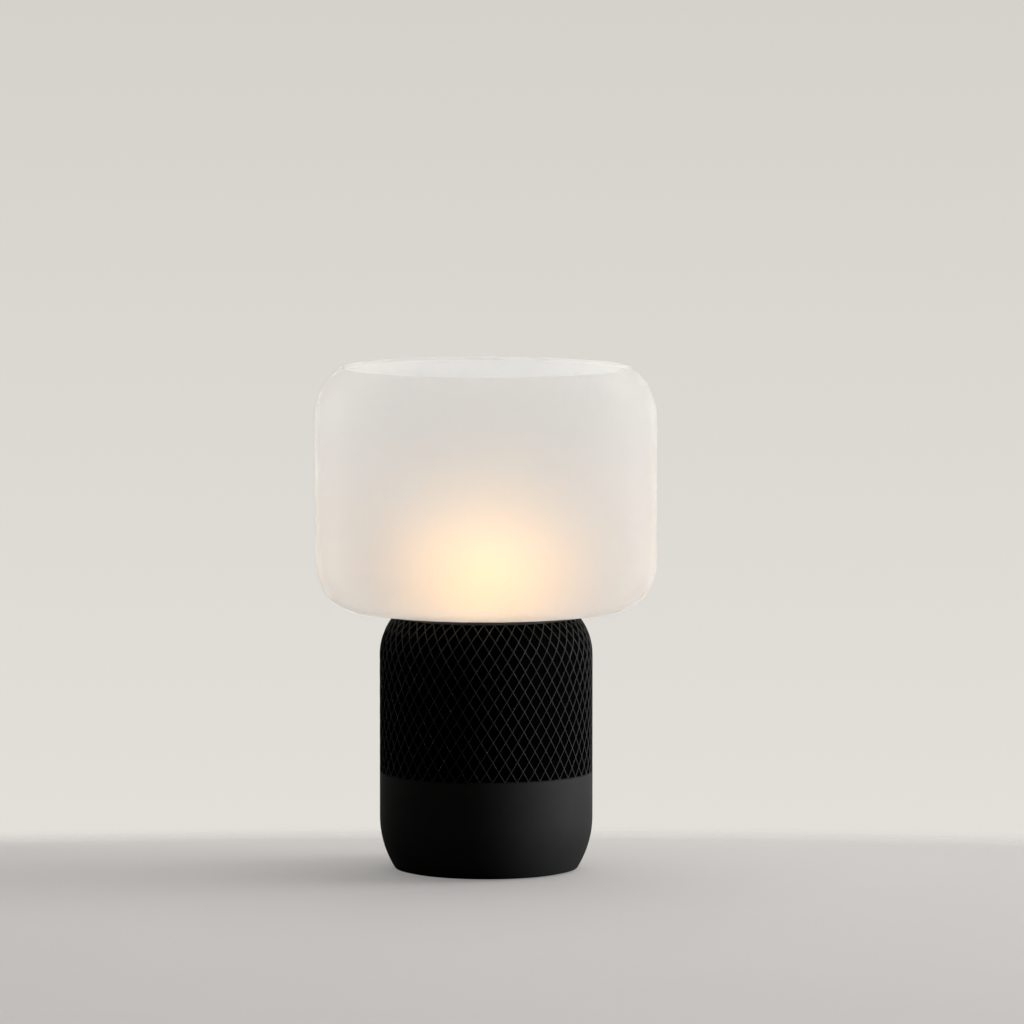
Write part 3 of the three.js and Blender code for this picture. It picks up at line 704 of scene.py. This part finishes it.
def make_grille():
    """The diamond lattice as one skin of ribs: whole holes, then the half holes at both edges."""
    bm = bmesh.new()
    top = DIAMOND_ROWS
    bend = math.asin((GRILLE_HIGH[2] - SHOULDER_Z) / SHOULDER_R)
    v_end = (SHOULDER_Z - GRILLE_LOW[2] + SHOULDER_R * bend) / DIAMOND_H
    rib = RIB_HALF
    for i in range(DIAMONDS):
        for half_row in range(1, 2 * top):
            u, v = i + (0 if half_row % 2 else 0.5), half_row / 2
            hole_in(bm, [(u, v - 0.5), (u + 0.5, v), (u, v + 0.5), (u - 0.5, v)], [rib] * 4, ())
        u = i + 0.5
        hole_in(bm, [(u - 0.5, 0), (u + 0.5, 0), (u, 0.5)], [JOINT_LIP, rib, rib], (0,))
        hole_in(bm, [(u, top - 0.5), (u + 0.5, top), (u - 0.5, top)], [rib, rib, rib], ())
        top_band(bm, u - 0.5, u + 0.5, top, v_end)
    bmesh.ops.remove_doubles(bm, verts=bm.verts, dist=2e-6)
    stand_for(finish_mesh("grille_lattice", bm, 60), "grille")


def make_cloth():
    """The black cloth behind the lattice, turned between two skins set in behind the ribs, over the CAD
    cloth's height.
    """
    low, high = span("grille_cloth")
    z0, z1 = low[2], high[2]
    front, back = skin(z0, z1, CLOTH_INSET), skin(z0, z1, CLOTH_INSET + CLOTH_WALL)
    cloth = turned("grille_cloth_woven", front + back[::-1], 256)
    stand_for(cloth, "grille_cloth")


# ------------------------------------------------------------------ lower housing, foot and underside
ROW_HIGH, ROW_LOW = 53, 43
BIG_R, SMALL_R = 4.4, 3.5
BUTTONS = (
    ("volume_down_button", -15, ROW_HIGH, BIG_R, "minus"),
    ("play_button", 0, ROW_HIGH, BIG_R, "play"),
    ("volume_up_button", 15, ROW_HIGH, BIG_R, "plus"),
    ("light_button", -9, ROW_LOW, SMALL_R, "ring"),
    ("pairing_button", 9, ROW_LOW, SMALL_R, "dots"),
)
BUTTON_PROUD = 0.5
BUTTON_GAP = 0.35
PIPE_R = 1.2
BAY_HALF, BAY_Z0, BAY_Z1, BAY_BACK = 24.0, 12.0, 36.0, 56.0
CUT_FROM, CUT_TO = 34, BASE_R + 5  # along Y, from well inside the housing to well outside it
POSTS = (45, 135, 225, 315)
POST_CIRCLE = 42.0
POST_R, POST_LOW, POST_HIGH = 4, 5.2, 59.9
WEB_HALF, WEB_LOW = 1.2, 22


def peg(name, r, y0, y1, x, z, sides=64):
    """A plain round bar along Y."""
    return turned(name, [(0, y0), (r, y0), (r, y1), (0, y1)], sides, (x, 0, z), "y")


def make_housing():
    """The plain lower shell, with holes for the controls and sockets, and four screw posts inside."""
    z0, z1 = HOUSING_LOW[2], HOUSING_HIGH[2]
    section = eased(skin(z0, z1, 0) + skin(z0, z1, HOUSING_WALL)[::-1], 0.45)
    housing = turned("lower_housing_moulded", section, 256)
    half = BAY_HALF + CLEARANCE
    tools = [block("bay", (-half, 40, BAY_Z0 - CLEARANCE), (half, CUT_TO, BAY_Z1 + CLEARANCE))]
    tools += [peg(f"hole_{name}", r + BUTTON_GAP, CUT_FROM, CUT_TO, x, z) for name, x, z, r, _ in BUTTONS]
    tools.append(peg("pipe_hole", PIPE_R + CLEARANCE, CUT_FROM, CUT_TO, 0, ROW_LOW, 32))
    carved(housing, tools)
    posts = []
    for angle in POSTS:
        a = math.radians(angle)
        at = (POST_CIRCLE * math.cos(a), POST_CIRCLE * math.sin(a), 0)
        post = [(0, POST_LOW), (POST_R, POST_LOW), (POST_R, POST_HIGH), (0, POST_HIGH)]
        posts.append(turned(f"post_{angle}", post, 32, at))
        far = BASE_R - HOUSING_WALL / 2
        web = block(f"web_{angle}", (POST_CIRCLE, -WEB_HALF, WEB_LOW), (far, WEB_HALF, POST_HIGH))
        web.data.transform(Matrix.Rotation(a, 4, "Z"))
        posts.append(web)
    stand_for(carved(housing, posts, "UNION"), "lower_housing")


FOOT_INNER, FOOT_OUTER, FOOT_H = 49, 55.5, 1.6
SLOT_HALF, SLOT_WIDE = 1.5, 0.3


def make_foot():
    """The rubber ring, the plate inside it, and the four cross-slot screws in their wells."""
    foot = eased([(FOOT_INNER, 0), (FOOT_OUTER, 0), (FOOT_OUTER, FOOT_H), (FOOT_INNER, FOOT_H)], 0.5)
    stand_for(turned("foot_ring_moulded", foot, 256), "foot_ring")

    plate_z = 1.9
    plate = turned("base_plate_moulded", eased([
        (0, plate_z), (30, plate_z), (30, plate_z + 0.5), (32, plate_z + 0.5), (32, plate_z),
        (55.3, plate_z), (55.3, 4.9), (0, 4.9),
    ], 0.25), 192)
    wells = []
    for i, angle in enumerate(POSTS):
        a = math.radians(angle)
        x, y = POST_CIRCLE * math.cos(a), POST_CIRCLE * math.sin(a)
        well = [(0, 1), (3.3, 1), (3.3, 3.4), (1.9, 3.4), (1.9, 6), (0, 6)]
        wells.append(turned("well", well, 48, (x, y, 0)))
        screw = turned(f"base_screw_{i + 1}_turned", [
            (0, 2.1), (1.6, 2.15), (2.4, 2.35), (2.8, 2.7), (2.9, 3.1), (1.5, 3.1), (1.5, 4.9), (0, 4.9),
        ], 48, (x, y, 0))
        slots = []
        for turn in (0, 90):
            slot = block("slot", (-SLOT_HALF, -SLOT_WIDE, 1.5), (SLOT_HALF, SLOT_WIDE, 2.75))
            spun = Matrix.Rotation(math.radians(turn + 17 * i), 4, "Z")  # no two screws stop alike
            slot.data.transform(Matrix.Translation(Vector((x, y, 0)) * MM) @ spun)
            slots.append(slot)
        stand_for(carved(screw, slots), f"base_screw_{i + 1}")
    stand_for(carved(plate, wells), "base_plate")


# ------------------------------------------------------------------ buttons and their marks


def mark(kind, x, z):
    """A generic raised mark on a button, as closed prisms along Y."""
    y = math.sqrt((BASE_R + BUTTON_PROUD) ** 2 - x ** 2)
    y0, y1 = y - 1.0, y + 0.25
    long, thin = 1.5, 0.22
    bar = ((-long, -thin), (long, -thin), (long, thin), (-long, thin))
    upright = tuple((-b, a) for a, b in bar)
    outlines = {"minus": [bar], "plus": [bar, upright], "play": [((-0.9, -1.3), (1.4, 0), (-0.9, 1.3))]}
    parts = [extruded("mark", list(o), y0, y1, (x, 0, z)) for o in outlines.get(kind, [])]
    if kind == "ring":
        parts.append(turned("mark", [(0.85, y0), (1.25, y0), (1.25, y1), (0.85, y1)], 32, (x, 0, z), "y"))
    if kind == "dots":
        parts += [peg("mark", 0.35, y0, y1, x + dx, z, 16) for dx in (-0.8, 0.8)]
    return parts


def button(name, x, z, r, kind):
    """A round cap whose outer face follows the housing, with an eased rim and its inner flange."""
    bm = bmesh.new()
    sides, inner_y, outer = 64, 59.9, BASE_R + BUTTON_PROUD
    flange_r, flange_y0, flange_y1 = r + 1.2, 60.8, 62.2
    # [reach from the middle, drop below the curved face], then [reach, y] of the flat back
    face = [(0, 0), (r * 0.5, 0), (r - 0.7, 0), (r - 0.3, 0.06), (r - 0.08, 0.22), (r, 0.5)]
    stem = [(r, flange_y1), (flange_r, flange_y1), (flange_r, flange_y0), (r, flange_y0)]
    stem += [(r, inner_y), (0, inner_y)]

    def ring(reach, y_at):
        out = []
        for i in range(1 if reach == 0 else sides):
            a = TURN * i / sides
            px = x + reach * math.cos(a)
            out.append(bm.verts.new(Vector((px, y_at(px), z + reach * math.sin(a))) * MM))
        return out

    rings = [ring(reach, lambda px: math.sqrt(outer ** 2 - px ** 2) - drop) for reach, drop in face]
    rings += [ring(reach, lambda px: y) for reach, y in stem]
    skinned(bm, rings, sides, closed=False)
    cap = finish_mesh(name + "_cap", bm)
    stand_for(carved(cap, mark(kind, x, z), "UNION"), name)


def make_controls():
    """The five buttons on the rear, and the light pipe between the lower two."""
    for row in BUTTONS:
        button(*row)
    back, front = 55.3, BASE_R - 0.05
    pipe = eased([(0, back), (PIPE_R, back), (PIPE_R, front), (0, front)])
    stand_for(turned("status_light_pipe_lens", pipe, 32, (0, 0, ROW_LOW), "y"), "status_light_pipe")


# ------------------------------------------------------------------ sockets
BAY_WALL = 1.8
FACE_Y = BAY_BACK + 0.6
SOCKET_DEPTH = 13.0
SOCKET_FLOOR = FACE_Y - SOCKET_DEPTH  # along Y
SOCKET_BACK = 3.0  # how much of a socket is behind its floor
INLET_X, INLET_Z = -7.0, 24.0
INLET_HALF, INLET_ROUND = 10.0, 6.0
INLET_RIM = 1.7
PIN_OFFSET, PIN_R = 4.3, 1.2
JACK_X0, JACK_X1, JACK_Z0, JACK_Z1 = 7.0, 21.0, 17.5, 30.5
CONTACTS, CONTACT_PITCH, CONTACT_HALF = 8, 1.02, 0.2


def stadium(half_width, r, steps=16):
    """An outline with straight top and bottom and round ends."""
    straight = half_width - r
    return arc((straight, 0), r, -90, 90, steps) + arc((-straight, 0), r, 90, 270, steps)


def make_bay():
    """The recess that holds both sockets, cut to the outside of the base."""
    skin_plug = turned("skin_plug", [(0, 1), *skin(1, 50, CLEARANCE), (0, 50)], 256)
    tray = block("socket_bay_moulded", (-BAY_HALF, 53, BAY_Z0), (BAY_HALF, BASE_R, BAY_Z1))
    carved(tray, [skin_plug], "INTERSECT")
    half = BAY_HALF - BAY_WALL
    inside = block("inside", (-half, BAY_BACK, BAY_Z0 + BAY_WALL), (half, CUT_TO, BAY_Z1 - BAY_WALL))
    inlet_outline = stadium(INLET_HALF + CLEARANCE, INLET_ROUND + CLEARANCE)
    inlet_hole = extruded("inlet_hole", inlet_outline, 50, 60, (INLET_X, 0, INLET_Z))
    jack_hole = block(
        "jack_hole", (JACK_X0 - CLEARANCE, 50, JACK_Z0 - CLEARANCE),
        (JACK_X1 + CLEARANCE, 60, JACK_Z1 + CLEARANCE),
    )
    stand_for(carved(tray, [inside, inlet_hole, jack_hole]), "socket_bay")


def make_inlet():
    """The mains inlet with its two pins."""
    at = (INLET_X, 0, INLET_Z)
    outline = stadium(INLET_HALF, INLET_ROUND)
    inlet = extruded("mains_inlet_moulded", outline, SOCKET_FLOOR - SOCKET_BACK, FACE_Y, at, 0.3)
    opening = stadium(INLET_HALF - INLET_RIM, INLET_ROUND - INLET_RIM)
    bore = extruded("bore", opening, SOCKET_FLOOR, FACE_Y + 1, at)
    stand_for(carved(inlet, [bore]), "mains_inlet")
    y0, y1 = SOCKET_FLOOR + CLEARANCE, FACE_Y - 2.5
    section = eased([(0, y0), (PIN_R, y0), (PIN_R, y1), (0, y1)], 0.7, 5)
    for name, x in (("inlet_pin_left", INLET_X - PIN_OFFSET), ("inlet_pin_right", INLET_X + PIN_OFFSET)):
        stand_for(turned(f"{name}_turned", section, 32, (x, 0, INLET_Z), "y"), name)


def make_jack():
    """The network jack, with its latch notch and its row of contacts."""
    low, high = (JACK_X0, SOCKET_FLOOR - SOCKET_BACK, JACK_Z0), (JACK_X1, FACE_Y, JACK_Z1)
    jack = block("network_jack_pressed", low, high, 0.25)
    side, top = 1.1, 2.4
    low, high = (JACK_X0 + side, SOCKET_FLOOR, JACK_Z0 + top), (JACK_X1 - side, FACE_Y + 1, JACK_Z1 - top)
    mouth = block("mouth", low, high)
    latch = block("latch", (JACK_X0 + 4, FACE_Y - 6, 18.4), (JACK_X1 - 4, FACE_Y + 1, 20.5))
    stand_for(carved(jack, [mouth, latch]), "network_jack")
    contacts = []
    for i in range(CONTACTS):
        x = (JACK_X0 + JACK_X1) / 2 + (i - (CONTACTS - 1) / 2) * CONTACT_PITCH
        low, high = (x - CONTACT_HALF, SOCKET_FLOOR - 0.5, 27.0), (x + CONTACT_HALF, FACE_Y - 3, 27.4)
        contacts.append(block("contact", low, high))
    wires = joined("network_jack_contacts", contacts)
    wires.data.materials.append(FINISH["brass"])
    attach(wires, BODY_OF["network_jack"])


# ------------------------------------------------------------------ the pieces that stay as CAD made them


def finish_cad_nodes():
    """Every CAD node gets its slot's finish. Those replaced below aren't shown."""
    for name, node in nodes.items():
        node.data.materials.clear()
        node.data.materials.append(FINISH[SLOT_OF[name]])


# ------------------------------------------------------------------ floor, light and camera
CAMERA_AWAY, CAMERA_UP, CAMERA_ASIDE = 5.4, 0.724, 0.0167
AIM_Z = 0.2315
LENS = 295.5

FLOOR_R = 2.4
FLOOR_COLOUR = (0.42, 0.41, 0.397)
FLOOR_GLOW = (0.232, 0.226, 0.219)  # light in the floor's shadows
FLOOR_MIDDLE = -0.32  # the floor's clear stretch is centred in front of the object
FLOOR_FADE = (0.44, 0.54)  # and melts into the backdrop between these distances, twice that sideways
FLOOR_BOUNCE = 0.3  # how much of its light the floor passes on to the object


def make_floor():
    """A pale disc under the object, which fades into the wall and lights the object less than it shows."""
    bm = bmesh.new()
    bmesh.ops.create_circle(bm, cap_ends=True, radius=FLOOR_R, segments=96)
    floor = finish_mesh("floor", bm)
    mat, n, where = blank("pale_floor")
    shape = {"Vector": where, "Location": (0, -FLOOR_MIDDLE, 0), "Scale": (0.5, 1, 1)}
    spot = n.add("ShaderNodeMapping", shape).outputs["Vector"]
    away = n.add("ShaderNodeVectorMath", {0: spot}, operation="LENGTH").outputs["Value"]
    cloud = n.noise(where, 6.0, 4.0)
    colour = n.mixed(n.ranged(cloud, 0, 1), FLOOR_COLOUR, [c * 1.02 for c in FLOOR_COLOUR])
    matt = n.add("ShaderNodeBsdfDiffuse", {"Color": colour})
    glow = n.add("ShaderNodeEmission", {"Color": (*FLOOR_GLOW, 1)})
    pale = n.add("ShaderNodeAddShader", {0: matt.outputs[0], 1: glow.outputs[0]})
    dim = n.add("ShaderNodeBsdfDiffuse", {"Color": (*[c * FLOOR_BOUNCE for c in FLOOR_COLOUR], 1)})
    path = n.add("ShaderNodeLightPath").outputs
    shown = n.math("MAXIMUM", path["Is Camera Ray"], path["Is Transmission Ray"])
    shader = n.add("ShaderNodeMixShader", {0: shown, 1: dim.outputs[0], 2: pale.outputs[0]})
    sockets = {"Value": away, "From Min": FLOOR_FADE[0], "From Max": FLOOR_FADE[1]}
    fade = n.add("ShaderNodeMapRange", sockets, interpolation_type="SMOOTHSTEP").outputs["Result"]
    clear = n.add("ShaderNodeBsdfTransparent")
    output(n, n.add("ShaderNodeMixShader", {0: fade, 1: shader.outputs[0], 2: clear.outputs[0]}))
    floor.data.materials.append(mat)


def reach(light, state, items):
    """Keeps a light on some items (INCLUDE) or off them (EXCLUDE)."""
    group = bpy.data.collections.new(light.name + "_reach")
    for item in items:
        group.objects.link(item)
    for entry in group.collection_objects:
        entry.light_linking.link_state = state
    light.light_linking.receiver_collection = group


LIGHTS_AIM = (0, 0, 0.2)
KEY_AT, KEY_SIZE = (2.2, 0.0, 0.55), (1.2, 1.6)


def area_light(name, at, size, power):
    """A white rectangular light that points at the middle of the object."""
    lamp = bpy.data.lights.new(name, "AREA")
    lamp.shape, lamp.size, lamp.size_y = "RECTANGLE", *size
    lamp.energy = power
    item = bpy.data.objects.new(name, lamp)
    item.location = at
    item.rotation_euler = (Vector(LIGHTS_AIM) - Vector(at)).to_track_quat("-Z", "Y").to_euler()
    bpy.context.scene.collection.objects.link(item)
    return item


# what lights the object, from behind it and from the camera's side
BACK_LEFT, BACK_RIGHT = (0.27, 0.27, 0.265), (0.66, 0.64, 0.61)
FRONT_GLOW = (0.03, 0.03, 0.03)
# what the camera sees, and what it sees through the glass
WALL_LOW, WALL_HIGH = (0.77, 0.745, 0.705), (0.665, 0.64, 0.60)
THROUGH_LEFT, THROUGH_RIGHT = (0.69, 0.735, 0.725), (0.82, 0.88, 0.915)


def make_room_light():
    """A world with three brightnesses, by kind of ray, and area lights that each reach some pieces."""
    world = bpy.data.worlds.new("studio")
    bpy.context.scene.world = world
    world.use_nodes = True
    world.node_tree.nodes.clear()
    n = Nodes(world.node_tree)
    axes = n.add("ShaderNodeSeparateXYZ", {"Vector": n.add("ShaderNodeTexCoord").outputs["Generated"]})
    back = n.mixed(n.ranged(axes.outputs["X"], 0, 1, -0.7, 0.2), BACK_LEFT, BACK_RIGHT)
    lit = n.mixed(n.ranged(axes.outputs["Y"], 0, 1, -0.15, 0.35), FRONT_GLOW, back)
    wall = n.mixed(n.ranged(axes.outputs["Z"], 0, 1, -0.13, -0.03), WALL_LOW, WALL_HIGH)
    seen = n.add("ShaderNodeBackground", {"Color": wall})
    unseen = n.add("ShaderNodeBackground", {"Color": lit})
    across = n.mixed(n.ranged(axes.outputs["X"], 0, 1, -0.4, 0.4), THROUGH_LEFT, THROUGH_RIGHT)
    through = n.add("ShaderNodeBackground", {"Color": across})
    path = n.add("ShaderNodeLightPath").outputs
    sockets = {0: path["Is Transmission Ray"], 1: unseen.outputs[0], 2: through.outputs[0]}
    hidden = n.add("ShaderNodeMixShader", sockets)
    sockets = {0: path["Is Camera Ray"], 1: hidden.outputs[0], 2: seen.outputs[0]}
    whole = n.add("ShaderNodeMixShader", sockets)
    n.add("ShaderNodeOutputWorld", {"Surface": whole.outputs[0]})
    shade, floor = bpy.data.objects["glass_shade_blown"], bpy.data.objects["floor"]
    for light in (
        area_light("key_right", KEY_AT, KEY_SIZE, 62.0),
        area_light("overhead", (0.2, 1.2, 3.0), (2.0, 2.0), 14.0),
    ):
        reach(light, "EXCLUDE", [shade, floor])
    reach(area_light("shade_right", KEY_AT, KEY_SIZE, 4.5), "INCLUDE", [shade])
    reach(area_light("floor_right", (2.2, 0.2, 1.5), (1.2, 1.2), 30.0), "INCLUDE", [floor])
    reach(area_light("floor_top", (0.3, 0.6, 3.0), (3.0, 3.0), 45.0), "INCLUDE", [floor])


def make_camera():
    """The photo's view: far off, a little to the right, and looking slightly down."""
    camera = bpy.data.cameras.new("camera")
    camera.lens = LENS
    camera.clip_end = 200
    item = bpy.data.objects.new("camera", camera)
    item.location = (CAMERA_ASIDE, -CAMERA_AWAY, CAMERA_UP)
    down = math.atan((CAMERA_UP - AIM_Z) / CAMERA_AWAY)
    item.rotation_euler = (math.pi / 2 - down, 0, 0)
    bpy.context.scene.collection.objects.link(item)
    bpy.context.scene.camera = item
    bpy.context.scene.view_settings.view_transform = "Standard"


# ------------------------------------------------------------------ everything
make_camera()
finish_cad_nodes()
make_shade()
make_shade_mount()
make_lamp_holder()
make_bulb()
make_deck()
make_grille()
make_cloth()
make_housing()
make_foot()
make_controls()
make_bay()
make_inlet()
make_jack()
make_floor()
make_room_light()
